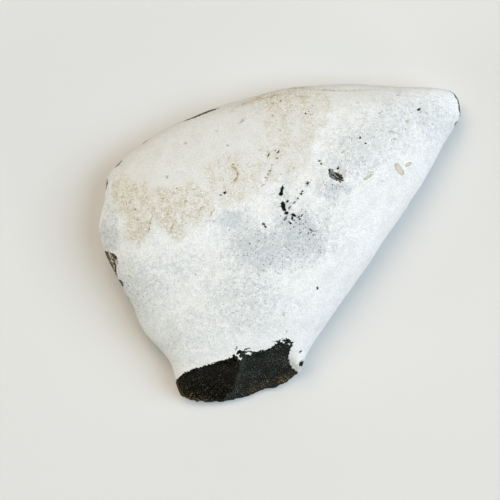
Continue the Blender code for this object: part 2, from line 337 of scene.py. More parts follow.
PEPPERS = (  # chalk full of pinholes
    Spot(3.8, 6.4, 4.0, 3.2, -30, 1.0), Spot(1.6, 10.2, 1.6, 3.0, 0, 0.7),
    Spot(7.0, 3.4, 3.0, 2.6, -40, 0.8), Spot(5.2, 11.8, 1.6, 1.2, 45, 0.5),
    Spot(13.2, 14.2, 2.2, 1.2, 20, 0.9), Spot(10.6, 14.6, 1.4, 0.9, 0, 0.7),
    Spot(6.6, 14.3, 1.0, 0.8, 40, 0.9), Spot(19.3, 25.2, 1.4, 1.6, 0, 0.5),
    Spot(27.2, 26.4, 1.8, 1.4, -30, 0.6), Spot(23.6, 29.6, 1.8, 1.2, -20, 0.4),
    Spot(33.6, 31.8, 2.0, 1.2, 20, 0.5), Spot(-40.8, 1.8, 1.4, 4.0, 0, 0.4),
    Spot(-3.4, 22.0, 3.0, 2.4, 40, 0.35), Spot(6.9, 31.0, 1.2, 2.6, -25, 0.8), Spot(12, 9, 3, 3, 0, 0.3),
    Spot(-3.0, 16.5, 0.9, 3.2, -25, 0.6), Spot(-2, -1, 7, 5, 0, 0.42), Spot(13.0, 22.2, 2.0, 1.4, 20, 0.4),
    Spot(22.0, 16.4, 1.6, 0.7, 25, 0.8), Spot(-35, -9, 5, 9, 25, 0.4), Spot(-8, -13, 12, 7, 0, 0.34),
    Spot(4, -3, 7, 6, 0, 0.42), Spot(20, 23, 9, 6, 35, 0.38), Spot(34, 31, 7, 4.5, 25, 0.4),
    Spot(-22, -22, 8, 7, 0, 0.3),
)
PITS = (  # the dark cluster in the middle first, then the ones round it
    Spot(0.5, 12.8, 1.05, 0.3, 76), Spot(0.3, 11.9, 0.5, 0.42, 60), Spot(0.8, 8.9, 1.05, 0.52, 98),
    Spot(1.2, 8.0, 0.42, 0.34, 110), Spot(1.6, 7.25, 0.42, 0.38), Spot(1.8, 10.1, 0.36, 0.28, 60),
    Spot(3.3, 6.75, 0.66, 0.32, -20), Spot(3.0, 6.0, 0.44, 0.22, 90), Spot(3.5, 5.5, 0.18, 0.16),
    Spot(4.5, 6.3, 0.26, 0.2, 30), Spot(4.8, 5.7, 0.28, 0.22), Spot(5.3, 6.6, 0.4, 0.18, 45),
    Spot(2.6, 4.8, 0.3, 0.24), Spot(2.1, 5.05, 0.18, 0.16), Spot(1.15, 5.7, 0.24, 0.18),
    Spot(1.45, 6.3, 0.3, 0.14, 45), Spot(2.4, 8.6, 0.5, 0.14, 70), Spot(4.3, 10.7, 0.3, 0.14, 45),
    Spot(3.5, 9.8, 0.3, 0.14, 30), Spot(5.4, 12.5, 0.26, 0.22, 50), Spot(5.1, 11.8, 0.28, 0.22, 50),
    Spot(6.8, 14.4, 0.5, 0.22, 45), Spot(-3.9, 4.6, 0.36, 0.24, -45), Spot(-3.5, 4.0, 0.32, 0.24, -60),
    Spot(7.5, 3.2, 0.6, 0.13, -35), Spot(6.9, 2.4, 0.28, 0.14, 45), Spot(9.0, -10.8, 0.31, 0.22, 90),
    Spot(14.0, 18.0, 0.34, 0.22, 90), Spot(9.9, 19.1, 0.24, 0.18), Spot(9.5, 19.7, 0.24, 0.14),
    Spot(-11.2, 18.9, 0.2, 0.17), Spot(-13.2, 12.1, 0.28, 0.2, 30), Spot(-14.2, 11.5, 0.24, 0.18),
    Spot(-34.7, 8.2, 0.2, 0.16), Spot(0.2, 34.1, 0.18, 0.15), Spot(-0.4, 21.9, 0.44, 0.17, 50),
    Spot(-2.7, 21.1, 0.44, 0.13, 60), Spot(-0.7, 20.4, 0.22, 0.14), Spot(-1.9, 18.7, 0.18, 0.15),
    Spot(33.3, 32.1, 0.43, 0.22, 20), Spot(19.3, 25.3, 0.2, 0.22), Spot(20.6, 24.0, 0.22, 0.14, -40),
    Spot(-2.4, 17.4, 0.16, 0.12), Spot(-2.9, 16.6, 0.22, 0.12, 60), Spot(-3.4, 15.7, 0.16, 0.12),
    Spot(-1.1, 22.2, 0.2, 0.12, 50),
)
EDGE_FLINTS = (
    EdgeFlint(Spot(-18.8, 31.2, 4.4, 1.4, 24), 9.5, 1.0),
    EdgeFlint(Spot(-32.4, 24.4, 0.7, 0.6, 40), 7.9, 1.6),
    EdgeFlint(Spot(-38.6, 19.1, 1.7, 0.7, 28), 8.5, 1.5),
    EdgeFlint(Spot(-41.8, 14.1, 1.5, 1.6, 75), 8.8, 1.5),
    EdgeFlint(Spot(43.2, 32.6, 2.3, 1.3, 98), 6.8, 1.6),
    EdgeFlint(Spot(42.5, 35.0, 1.3, 1.0, 125), 6.8, 1.3),
    EdgeFlint(Spot(40.6, 36.4, 2.2, 0.8, 155), 6.5, 0.9),
    EdgeFlint(Spot(42.4, 28.7, 0.8, 0.9, 60), 7.0, 1.6),
    EdgeFlint(Spot(-37.9, -9.5, 1.1, 0.8, -60), 9.2, 2.0),
    EdgeFlint(Spot(-36.3, -13.6, 1.0, 0.9, -60), 7.6),
    EdgeFlint(Spot(-35.1, -15.3, 1.4, 0.9, -60), 7.4, 1.1),
)
BARE_SPOTS = (  # flint that shows through the cortex round the break
    Spot(5.2, -28.9, 0.5, 0.9, -20), Spot(5.0, -25.9, 0.3, 0.2, 60), Spot(-10.5, -25.2, 0.5, 0.16, 60),
    Spot(-11.0, -27.1, 0.5, 0.4, 20), Spot(-10.0, -26.2, 0.5, 0.3, 50), Spot(-7.8, -25.4, 0.6, 0.2, 20),
    Spot(-0.6, -23.5, 0.5, 0.16, 10), Spot(1.2, -22.9, 0.5, 0.16, -10), Spot(2.9, -24.2, 0.2, 0.5),
)
CHALK_FLECKS = (  # chalk left on the break's upper edge
    Spot(-7.5, -26.4, 0.7, 0.4, 5), Spot(-9.6, -27.7, 0.42, 0.3), Spot(-10.1, -26.9, 0.36, 0.22, 40),
    Spot(-4.1, -25.4, 0.36, 0.28), Spot(-0.9, -23.9, 0.34, 0.2, 40), Spot(0.8, -23.7, 0.4, 0.22, -20),
    Spot(2.3, -24.1, 0.26, 0.2), Spot(-8.9, -25.6, 0.3, 0.2, 30),
)
WARM_FLINTS = (  # where the fresh break is brown
    Spot(1.6, -32.8, 5.0, 1.7, 22), Spot(-4.6, -34.8, 5.0, 1.7, 14, 0.8),
    Spot(-20.0, -38.2, 6.0, 1.4, -5, 0.6), Spot(-23.2, -34.9, 3.4, 3.4, 0, 0.35),
)
SHELLS = (
    Spot(28.7, 17.7, 1.75, 0.76, -55), Spot(30.9, 18.9, 1.0, 0.45, 32), Spot(27.6, 25.0, 0.38, 0.34),
    Spot(30.5, 29.2, 0.46, 0.41), Spot(21.2, 15.9, 1.4, 0.38, 30),
)
GREYS = (
    Spot(-9.1, 29.4, 1.08, 0.29, 38), Spot(-15.2, 27.0, 0.34, 0.19, 20), Spot(-22.7, 24.0, 0.36, 0.24),
    Spot(-27.1, 15.9, 0.53, 0.29, 60), Spot(6.6, 14.3, 0.77, 0.62, 40), Spot(21.8, 16.9, 0.96, 0.17, 25),
    Spot(24.0, 31.2, 0.36, 0.26), Spot(30.2, 27.3, 0.22, 0.19), Spot(26.9, 26.7, 0.72, 0.29, -20),
    Spot(18.6, 33.8, 0.38, 0.14, 10), Spot(28.1, 35.6, 0.43, 0.14), Spot(35.3, 31.1, 0.58, 0.17, -40),
    Spot(24.5, 15.0, 0.26, 0.26), Spot(0.9, -17.1, 0.46, 0.29, 90), Spot(1.7, -21.1, 0.38, 0.22, 90),
    Spot(-26.9, -10.9, 0.31, 0.19, 90), Spot(-20.2, -7.6, 0.24, 0.22), Spot(-5.1, -7.6, 0.77, 0.14, -60),
    Spot(-4.0, -6.6, 0.58, 0.24, 10), Spot(-0.4, -7.2, 1.2, 0.12, -20), Spot(-3.7, -10.8, 0.67, 0.12, -65),
    Spot(13.9, 14.1, 0.5, 0.18, -40), Spot(13.3, 13.4, 0.5, 0.14, 60),
)
BROWNS = (
    Spot(-34.1, 5.6, 0.29, 0.24), Spot(-26.9, 6.9, 0.24, 0.19), Spot(-20.7, 13.0, 0.24, 0.22),
    Spot(-1.7, 33.6, 0.24, 0.19), Spot(-1.8, 30.5, 0.24, 0.19), Spot(-12.5, 23.5, 0.29, 0.19),
    Spot(-10.9, 18.0, 0.8, 0.26, -40), Spot(-10.2, 16.6, 0.8, 0.3, -75), Spot(-10.7, 15.2, 0.9, 0.3, 55),
    Spot(-2.3, 17.2, 0.7, 0.13, 70), Spot(-3.0, 15.5, 0.7, 0.16, 60), Spot(-4.0, 14.0, 0.6, 0.2, 40),
    Spot(-4.6, 36.2, 3.6, 0.14, 14), Spot(2.6, 37.2, 3.0, 0.14, 4), Spot(-1.4, 35.4, 2.6, 0.12, 12),
    Spot(10.4, 36.8, 3.2, 0.12, -2), Spot(5.6, 35.2, 1.4, 0.14, 0), Spot(17.6, 36.7, 2.6, 0.12, 2),
    Spot(-7.8, 33.8, 1.8, 0.12, 22), Spot(-26.0, 3.6, 0.9, 0.16, 70), Spot(-19.0, 8.2, 0.8, 0.16, 50),
    Spot(-16.4, 7.2, 0.9, 0.2, 60), Spot(-30.8, 6.1, 0.8, 0.2, 75), Spot(-31.2, 4.7, 0.5, 0.26, 85),
    Spot(-31.5, 3.3, 0.7, 0.2, 80), Spot(0.9, -0.6, 0.72, 0.14, 40), Spot(-22.5, 10.1, 0.22, 0.22),
    Spot(27.6, 25.0, 0.24, 0.2),
)
UNDER_STAINS = (Spot(-18, -4, 13, 8, 20), Spot(6, 10, 9, 5, -30, 0.8), Spot(22, 16, 6, 4, 40, 0.6))
UNDER_MOTTLES = (Spot(4, -8, 14, 9, 40, 0.8), Spot(-24, 14, 10, 7, 0, 0.6), Spot(26, 24, 9, 6, 30, 0.6))
UNDER_PITS = (
    Spot(-9, 3, 1.1, 0.6, 30), Spot(-7, 1.4, 0.5, 0.4), Spot(14, 5, 0.9, 0.5, 80),
    Spot(15.4, 3.1, 0.4, 0.3),
)


def linear(colour: str) -> tuple[float, ...]:
    """Turns an sRGB hex colour to linear red, green, blue and alpha.

    Args:
        colour: the colour as #rrggbb.

    Returns:
        Four linear values from 0 to 1.
    """
    shares = [int(colour[start:start + 2], 16) / 255 for start in (1, 3, 5)]
    return (*(s / 12.92 if s <= 0.04045 else ((s + 0.055) / 1.055) ** 2.4 for s in shares), 1.0)


def per_size(millimetres: float) -> float:
    """Scale of a pattern whose features are this size."""
    return 1.0 / (millimetres * MM)


def smooth_step(values: np.ndarray, low: float, high: float) -> np.ndarray:
    """Eases values from 0 at low to 1 at high.

    Args:
        values: the numbers to ease.
        low: where the result leaves 0.
        high: where the result reaches 1.

    Returns:
        Eased shares from 0 to 1.
    """
    share = np.clip((values - low) / (high - low), 0, 1)
    return share * share * (3 - 2 * share)


def cover(points: np.ndarray, areas: tuple[Area, ...], softness: float) -> np.ndarray:
    """How strongly some areas cover each point.

    Args:
        points: places in millimetres.
        areas: spots or patches.
        softness: how far an edge fades each way, as a share of a spot's size or in a patch's millimetres.

    Returns:
        The strongest cover at each point, from 0 to 1.
    """
    covers = [area.strength * smooth_step(area.depth_inside(points), -softness, softness) for area in areas]
    return np.max(covers, axis=0)


def deepest(points: np.ndarray, areas: tuple[Area, ...]) -> np.ndarray:
    """How far each point lies inside the area that holds it deepest.

    Args:
        points: places in millimetres.
        areas: the areas.

    Returns:
        What the areas' own depth_inside gives, positive inside and negative outside.
    """
    return np.max([area.depth_inside(points) for area in areas], axis=0)


def reach_inside(points: np.ndarray, spots: tuple[Spot, ...]) -> np.ndarray:
    """How far each point lies inside the nearest spot.

    Args:
        points: places in millimetres.
        spots: the ovals.

    Returns:
        Millimetres, positive inside and negative outside, no lower than FAR_OUTSIDE.
    """
    depths = [spot.depth_inside(points) * min(spot.long, spot.wide) for spot in spots]
    return np.clip(np.max(depths, axis=0), FAR_OUTSIDE, None)


def as_seen(points: np.ndarray) -> np.ndarray:
    """Where points appear from the eye above the stone, whose marks are laid out as that eye sees them.

    Args:
        points: places in millimetres.

    Returns:
        The same points with x and y moved along the line of sight to the level EYE_LEVEL.
    """
    middle = np.array(EYE_MIDDLE)
    seen = points.copy()
    nearer = EYE_RISE / (EYE_RISE + EYE_LEVEL - points[:, 2:3])
    seen[:, :2] = middle + (points[:, :2] - middle) * nearer
    return seen


def shakes(points: np.ndarray, waves: tuple[tuple[float, float], ...]) -> np.ndarray:
    """Soft uneven offsets, which give what is looked up at shaken points a natural outline.

    Args:
        points: places in millimetres.
        waves: how fine each wave of the shaking is and how many millimetres it moves a point at most.

    Returns:
        The offset of each point.
    """
    return np.array([
        sum((noise.noise_vector(Vector(point) * fine) * reach for fine, reach in waves), Vector())
        for point in points.tolist()
    ])


def add_node(tree: bpy.types.NodeTree, kind: str, settings: dict, inputs: dict, output: int = 0) -> Socket:
    """Adds one node with its settings and links.

    Args:
        tree: the node tree that gets the node.
        kind: Blender's name of the node's type, without its first word.
        settings: the node's own options by name.
        inputs: a value or a source socket for each input, by name or number.
        output: which output to return.

    Returns:
        The chosen output socket.
    """
    node = tree.nodes.new(f"ShaderNode{kind}")
    for option, value in settings.items():
        setattr(node, option, value)
    for socket, value in inputs.items():
        if isinstance(value, Socket):
            tree.links.new(value, node.inputs[socket])
        else:
            node.inputs[socket].default_value = value
    return node.outputs[output]


BLEND = {"data_type": "RGBA"}  # a Mix node's colour sockets are then factor 0, below 6, above 7, result 2
EASED = {"interpolation_type": "SMOOTHSTEP"}  # a MapRange node takes value 0 from 1 and 2 to 3 and 4
TIMES = {"operation": "MULTIPLY"}
MINUS = {"operation": "SUBTRACT"}
TIMES_PLUS = {"operation": "MULTIPLY_ADD"}


@dataclass(frozen=True)
class Dots:
    """Scattered dots: millimetres between the places for a dot, a dot's radius, the share of places taken."""

    spacing: float
    radius: float
    share: float


@dataclass(frozen=True)
class Finish:
    """What every finish paints with: a material's node tree and the coordinates that its patterns read."""

    tree: bpy.types.NodeTree
    place: Socket

    def field(self, layer: Layer) -> Socket:
        """The socket of a field that the mesh carries."""
        return add_node(self.tree, "Attribute", {"attribute_name": layer.value}, {}, 2)

    def coated(self, base: Paint, *coats: tuple[Socket, Paint]) -> Socket:
        """Lays coats of colour over a base, one after the other.

        Args:
            base: the colour below.
            coats: the mask and the colour of each coat.

        Returns:
            The colour socket.
        """
        below = linear(base) if isinstance(base, str) else base
        for mask, colour in coats:
            above = linear(colour) if isinstance(colour, str) else colour
            below = add_node(self.tree, "Mix", BLEND, {0: mask, 6: below, 7: above}, 2)
        return below

    def ragged(self, shape: Socket, pattern: Socket, bite: float, edge: tuple[float, float]) -> Socket:
        """A mask whose outline is a field's, bitten into by a pattern.

        Args:
            shape: a field that rises into the masked area.
            pattern: noise around one half.
            bite: how much the pattern adds to the field, at most half of it each way.
            edge: the field values where the mask leaves 0 and reaches 1.

        Returns:
            The mask's socket.
        """
        centred = add_node(self.tree, "Math", MINUS, {0: pattern, 1: 0.5})
        moved = add_node(self.tree, "Math", TIMES_PLUS, {0: centred, 1: bite, 2: shape})
        return add_node(self.tree, "MapRange", EASED, {0: moved, 1: edge[0], 2: edge[1]})

    def dotted(self, dots: Dots) -> Socket:
        """Scattered small dots of uneven size.

        Args:
            dots: how large and how many they are.

        Returns:
            A mask, 1 in a dot.
        """
        cells = {"Vector": self.place, "Scale": per_size(dots.spacing)}
        distance = add_node(self.tree, "TexVoronoi", {}, cells)
        chance = add_node(self.tree, "SeparateColor", {}, {0: distance.node.outputs["Color"]})
        largest = 1.4 * dots.radius / dots.spacing
        size = add_node(self.tree, "MapRange", {}, {0: chance, 1: 1 - dots.share, 2: 1.0, 3: 0.0, 4: largest})
        inner = add_node(self.tree, "Math", TIMES, {0: size, 1: 0.55})
        return add_node(self.tree, "MapRange", EASED, {0: distance, 1: size, 2: inner, 3: 0.0, 4: 1.0})


@dataclass(frozen=True)
class ChalkCortex(Finish):
    """Flint cortex, porous white silica that the sea has worn smooth.

    Its pores scatter all light, so it looks near white and dead matt like chalk, cream where it is smoothest
    and mottled blue-grey where the flint below is near.
    """

    white: str = "#f1f4f3"
    shade: str = "#d9dddc"
    cream: str = "#e2e4e1"
    cream_shade: str = "#d5d7d3"
    mottle: str = "#c1c8ca"
    mottle_shade: str = "#98a2a3"
    speck: str = "#56666b"
    roughness: float = 0.92
    tooth: float = 0.3  # millimetres; chalk is finer, and this is as coarse as it needs to be to show
    cloud: float = 3.0  # millimetres
    blotch: float = 0.9  # millimetres
    specks: tuple[tuple[Dots, float], ...] = ((Dots(0.45, 0.18, 0.5), 0.7), (Dots(1.2, 0.22, 0.25), 0.9))
    bare_speck_share: float = 0.1  # how strong specks are off the mottles, as a share of their strength there

    def colour(self) -> Socket:
        """Colour of the clean cortex."""
        wide = {"Vector": self.place, "Scale": per_size(self.cloud), "Detail": 10.0, "Roughness": 0.72}
        clouds = add_node(self.tree, "TexNoise", {}, wide)
        narrow = {"Vector": self.place, "Scale": per_size(self.tooth), "Detail": 1.0, "Roughness": 0.6}
        tooth = add_node(self.tree, "TexNoise", {}, narrow)
        cloud = add_node(self.tree, "MapRange", EASED, {0: clouds, 1: 0.44, 2: 0.64, 3: 0.0, 4: 0.45})
        grain = add_node(self.tree, "MapRange", {}, {0: tooth, 1: 0.42, 2: 0.62, 3: 0.0, 4: 0.85})
        shaded = add_node(self.tree, "Math", {"operation": "ADD", "use_clamp": True}, {0: cloud, 1: grain})
        smooth = self.ragged(self.field(Layer.CREAM), clouds, 8.0, (-1.6, 2.6))
        white = self.coated(self.white, (shaded, self.shade))
        cream = self.coated(self.cream, (shaded, self.cream_shade))
        return self.mottled(self.coated(white, (smooth, cream)), tooth)

    def mottled(self, base: Socket, tooth: Socket) -> Socket:
        """Adds blue-grey mottling and fine dark specks.

        Args:
            base: the colour below.
            tooth: fine noise.

        Returns:
            The colour socket.
        """
        mottles = self.field(Layer.MOTTLE)
        middling = {"Vector": self.place, "Scale": per_size(self.blotch), "Detail": 8.0, "Roughness": 0.8}
        wash = self.ragged(mottles, add_node(self.tree, "TexNoise", {}, middling), 3.2, (0.05, 1.1))
        dark = self.ragged(mottles, tooth, 3.0, (0.8, 1.9))
        base = self.coated(base, (wash, self.mottle), (dark, self.mottle_shade))
        for dots, strength in self.specks:
            faint = self.bare_speck_share * strength
            dense = add_node(self.tree, "MapRange", EASED, {0: mottles, 3: faint, 4: strength})
            shown = add_node(self.tree, "Math", TIMES, {0: self.dotted(dots), 1: dense})
            base = self.coated(base, (shown, self.speck))
        return base


@dataclass(frozen=True)
class BeigeStain(Finish):
    """Iron-stained cortex, where ground water left a thin gritty crust.

    It is as matt as the chalk and warmer, broken up by pale threads, brown hollows, white crumbs and dark
    specks. The threads are partly the crust's pale colour and partly painted highlight on its ridges, and the
    hollows' brown is partly the stain and partly painted shade.
    """

    beige: str = "#cdcabf"
    pale: str = "#dbd9d1"
    # the pale threads below are partly painted highlight, the brown hollows partly painted shade
    thread_and_highlight: str = "#f6f5ee"
    hollow_and_shade: str = "#a59e84"
    speck: str = "#6b5b44"
    threads: float = 0.55  # millimetres from thread to thread
    hollows: float = 0.825  # millimetres from hollow to hollow
    patchiness: float = 2.4  # millimetres
    crumbs: Dots = Dots(1.3, 0.24, 0.4)
    specks: Dots = Dots(1.1, 0.2, 0.35)

    def over(self, base: Socket) -> Socket:
        """Lays the stain over a colour.

        Args:
            base: the colour below.

        Returns:
            The colour socket.
        """
        wide = {"Vector": self.place, "Scale": per_size(self.patchiness), "Detail": 10.0, "Roughness": 0.75}
        patches = add_node(self.tree, "TexNoise", {}, wide)
        thin = add_node(self.tree, "MapRange", EASED, {0: patches, 1: 0.56, 2: 0.42, 3: 0.0, 4: 0.66})
        # pale threads partly painted highlight, brown hollows partly painted shade
        crust = self.coated(
            self.beige, (thin, self.pale),
            (self.lines(self.threads, 0.045), self.thread_and_highlight), (self.lines(self.hollows, 0.03), self.hollow_and_shade),
            (self.dotted(self.crumbs), self.thread_and_highlight), (self.dotted(self.specks), self.speck),
        )
        return self.coated(base, (self.ragged(self.field(Layer.STAIN), patches, 2.5, (0.3, 1.15)), crust))

    def lines(self, spacing: float, width: float) -> Socket:
        """Short winding lines, as the crust dries in; the stain paints them partly as highlight and shade.

        Args:
            spacing: millimetres from one thread to the next.
            width: how much of the noise's range a thread takes, each way.

        Returns:
            A mask, nearly 1 along a thread.
        """
        winding = add_node(self.tree, "TexNoise", {}, {
            "Vector": self.place, "Scale": per_size(spacing), "Detail": 3.0, "Roughness": 0.6,
            "Distortion": 0.8,
        })
        off_middle = add_node(self.tree, "Math", MINUS, {0: winding, 1: 0.5})
        distance = add_node(self.tree, "Math", {"operation": "ABSOLUTE"}, {0: off_middle})
        return add_node(self.tree, "MapRange", EASED, {0: distance, 1: width, 2: 0.3 * width, 4: 0.85})


@dataclass(frozen=True)
class FlintBreak(Finish):
    """Flint, broken and left as it broke.

    Fine quartz drinks the light, so a fresh break looks nearly black with a dull waxy sheen. Small sparks
    where grains face the eye are painted glints, the right half is painted blue-grey as a reflection, thin
    edges have painted amber light shining through them, and old scars have weathered olive grey.
    """

    brown: str = "#030302"
    # the grain colours of the fresh break are painted glints where its grains face the eye
    brown_glint: str = "#524d3e"
    # teal: the break's right half painted blue-grey as a reflection
    teal_reflection: str = "#121714"
    teal_glint: str = "#6a6f69"
    strip: str = "#3b413c"
    warm: str = "#2b281e"
    warm_glint: str = "#8d8168"
    # painted light shining through thin flint edges
    amber_backlight: str = "#54401a"
    streak: str = "#868880"
    streak_shade: str = "#1d201a"
    chalky_streak: str = "#c4c1b4"
    chalky_streak_shade: str = "#3b3623"
    weathered: str = "#6e6a52"
    weathered_grain: str = "#26281d"
    roughness: float = 0.5
    ior: float = 1.54
    sheen_level: float = 0.03  # the Specular IOR Level; the grainy break mirrors less than polished flint
    grit: float = 0.27  # millimetres; flint's grain is far finer, and this is as coarse as shows
    cloud: float = 3.0  # millimetres
    streak_width: float = 0.5  # millimetres
    streak_length: float = 2.6  # times the width
    streak_turn: float = -40.0  # degrees from +X

    def colour(self) -> Socket:
        """Colour of the bare flint, old and fresh."""
        fine = {"Vector": self.place, "Scale": per_size(self.grit), "Detail": 1.0, "Roughness": 0.6}
        grain = add_node(self.tree, "TexNoise", {}, fine)
        old_grain = add_node(self.tree, "MapRange", EASED, {0: grain, 1: 0.36, 2: 0.62})
        old = self.coated(self.weathered, (old_grain, self.weathered_grain))
        flint = self.coated(self.fresh(grain), (self.field(Layer.OLD_SCAR), old))
        # painted amber light shining through the thin edges
        edge = {0: self.field(Layer.THIN_EDGE), 1: 0.1, 2: 0.9, 4: 0.8}
        thin = add_node(self.tree, "MapRange", EASED, edge)
        return self.coated(flint, self.chip(), (thin, self.amber_backlight))

    def fresh(self, grain: Socket) -> Socket:
        """Colour of the fresh break: brown-black left, a painted blue-grey reflection right of a paler strip,
        warmer at its lip, and painted glints over all.

        Args:
            grain: fine noise.

        Returns:
            The colour socket.
        """
        wide = {"Vector": self.place, "Scale": per_size(self.cloud), "Detail": 3.0}
        cloudy = {0: add_node(self.tree, "TexNoise", {}, wide), 1: 0.3, 2: 0.62, 3: 0.25}
        clouds = add_node(self.tree, "MapRange", EASED, cloudy)
        # glints: painted highlights where grains face the eye, on every kind of fresh flint
        glints = add_node(self.tree, "MapRange", EASED, {0: grain, 1: 0.54, 2: 0.7})
        light = add_node(self.tree, "Math", TIMES, {0: glints, 1: clouds})
        cool = self.field(Layer.COOL_BREAK)
        strip = add_node(self.tree, "MapRange", EASED, {0: cool, 1: 1.9, 2: 0.4, 4: 0.35})
        left = self.coated(self.brown, (light, self.brown_glint))
        # the right half's blue-grey is a painted reflection
        right = self.coated(self.teal_reflection, (light, self.teal_glint), (strip, self.strip))
        lip = self.coated(self.warm, (light, self.warm_glint))
        on_right = self.ragged(cool, grain, 1.6, (-0.2, 0.2))
        on_lip = self.ragged(self.field(Layer.WARM_BREAK), grain, 1.2, (0.1, 1.3))
        return self.coated(left, (on_right, right), (on_lip, lip))

    def chip(self) -> tuple[Socket, Socket]:
        """The streaky floor of the chips, dark along their outlines.

        Returns:
            The chips' mask and their colour.
        """
        along = add_node(self.tree, "Mapping", {"vector_type": "TEXTURE"}, {
            "Vector": self.place, "Rotation": (0.0, 0.0, math.radians(self.streak_turn)),
            "Scale": (self.streak_length, 1.0, 1.0),
        })
        width = {"Vector": along, "Scale": per_size(self.streak_width), "Detail": 4.0}
        depth = self.field(Layer.CHIP)
        shallow = add_node(self.tree, "Math", {"operation": "MINIMUM"}, {0: depth, 1: 0.4})
        pale = self.ragged(shallow, add_node(self.tree, "TexNoise", {}, width), 4.2, (0.2, 0.85))
        fresh = self.coated(self.streak_shade, (pale, self.streak))
        old = self.coated(self.chalky_streak_shade, (pale, self.chalky_streak))
        inside = add_node(self.tree, "MapRange", EASED, {0: depth, 1: -0.3, 2: -0.1})
        return inside, self.coated(fresh, (self.field(Layer.OLD_SCAR), old))


@dataclass(frozen=True)
class SmallMarks(Finish):
    """What sits in the cortex: buff shell bits, grey smudges, brown specks and creases, and dark pits.

    All of it is matt, and the pits and pinholes are painted near black: painted shade of holes that light
    entering them doesn't leave.
    """

    shell: str = "#cfcbb9"
    shell_rim: str = "#a9a999"
    grey: str = "#8f9896"
    brown: str = "#a3926c"
    halo: str = "#a9ada5"
    # painted shade in the pits and pinholes
    pit_shade: str = "#181d17"
    unevenness: float = 0.3  # millimetres, of the marks' outlines
    pinholes: tuple[Dots, ...] = (Dots(0.45, 0.14, 0.5), Dots(0.85, 0.22, 0.4))

    def over(self, base: Socket) -> Socket:
        """Lays the marks over a colour.

        Args:
            base: the colour below.

        Returns:
            The colour socket.
        """
        uneven = {"Vector": self.place, "Scale": per_size(self.unevenness), "Detail": 2.0}
        fine = add_node(self.tree, "TexNoise", {}, uneven)
        kinds = (  # field, colour, how far the outline wanders, and where the mark fades in
            (Layer.GREY, self.grey, 1.0, (-0.2, 0.5)), (Layer.BROWN, self.brown, 0.6, (-0.2, 0.3)),
            (Layer.SHELL, self.shell_rim, 0.3, (-0.08, 0.12)), (Layer.SHELL, self.shell, 1.0, (0.02, 0.3)),
            (Layer.PIT, self.halo, 0.3, (-0.22, 0.1)), (Layer.PIT, self.pit_shade, 0.2, (-0.08, 0.06)),
        )
        for layer, colour, bite, edge in kinds:
            base = self.coated(base, (self.ragged(self.field(layer), fine, bite, edge), colour))
        return self.peppered(base)

    def peppered(self, base: Socket) -> Socket:
        """Peppers a colour with dark pinholes, painted shade, where the cortex has them.

        Args:
            base: the colour below.

        Returns:
            The colour socket.
        """
        pepper = self.field(Layer.PEPPER)
        for dots in self.pinholes:
            holes = add_node(self.tree, "Math", TIMES, {0: self.dotted(dots), 1: pepper})
            shown = add_node(self.tree, "MapRange", EASED, {0: holes, 1: 0.15, 2: 0.8})
            base = self.coated(base, (shown, self.pit_shade))
        return base


@dataclass(frozen=True)
class StoneFinish(Finish):
    """The stone's whole surface: cortex, stain, marks and bare flint in one material."""

    edge_grain: float = 0.45  # millimetres, of the ragged edge between cortex and flint
    stain_grit: float = 0.6  # millimetres
    tooth_depth: float = 0.12  # millimetres

    @classmethod
    def material(cls) -> bpy.types.Material:
        """Makes the material and paints it."""
        material = bpy.data.materials.new("flint_with_chalky_cortex")
        material.use_nodes = True
        tree = material.node_tree
        tree.nodes.clear()
        cls(tree, add_node(tree, "TexCoord", {}, {}, 3)).paint()  # output 3 is Object
        return material

    def paint(self) -> None:
        """Joins the four finishes and gives the tree its surface."""
        chalk, flint = ChalkCortex(self.tree, self.place), FlintBreak(self.tree, self.place)
        stained = BeigeStain(self.tree, self.place).over(chalk.colour())
        cortex = SmallMarks(self.tree, self.place).over(stained)
        uneven = {"Vector": self.place, "Scale": per_size(self.edge_grain), "Detail": 4.0}
        fine = add_node(self.tree, "TexNoise", {}, uneven)
        bare = self.ragged(self.field(Layer.FLINT), fine, 1.1, (-0.08, 0.08))
        dullness = {0: bare, 3: chalk.roughness, 4: flint.roughness}
        surface = add_node(self.tree, "BsdfPrincipled", {}, {
            "Base Color": self.coated(cortex, (bare, flint.colour())),
            "Roughness": add_node(self.tree, "MapRange", {}, dullness),
            "Normal": self.bump(fine), "IOR": flint.ior, "Specular IOR Level": flint.sheen_level,
        })
        output = self.tree.nodes.new("ShaderNodeOutputMaterial")
        self.tree.links.new(surface, output.inputs["Surface"])

    def bump(self, fine: Socket) -> Socket:
        """Fine tooth of the chalk and grit of the stain, below what the mesh can hold.

        Args:
            fine: noise half a millimetre wide.

        Returns:
            The normal socket.
        """
        gritty = {"Vector": self.place, "Scale": per_size(self.stain_grit), "Detail": 5.0}
        grit = add_node(self.tree, "TexNoise", {}, gritty)
        stain = {0: self.field(Layer.STAIN), 1: 0.2, 2: 0.9, 3: 0.25, 4: 0.9}
        strength = add_node(self.tree, "MapRange", {}, stain)
        height = add_node(self.tree, "Math", TIMES, {0: grit, 1: strength})
        total = add_node(self.tree, "Math", TIMES_PLUS, {0: fine, 1: 0.3, 2: height})
        shape = {"Strength": 0.6, "Distance": self.tooth_depth * MM, "Height": total}
        return add_node(self.tree, "Bump", {}, shape)


@dataclass(frozen=True)
class Relief:
    """One grade of relief that is pressed into the stone, in millimetres."""

    name: str
    size: float
    depth: float
    ground: Ground


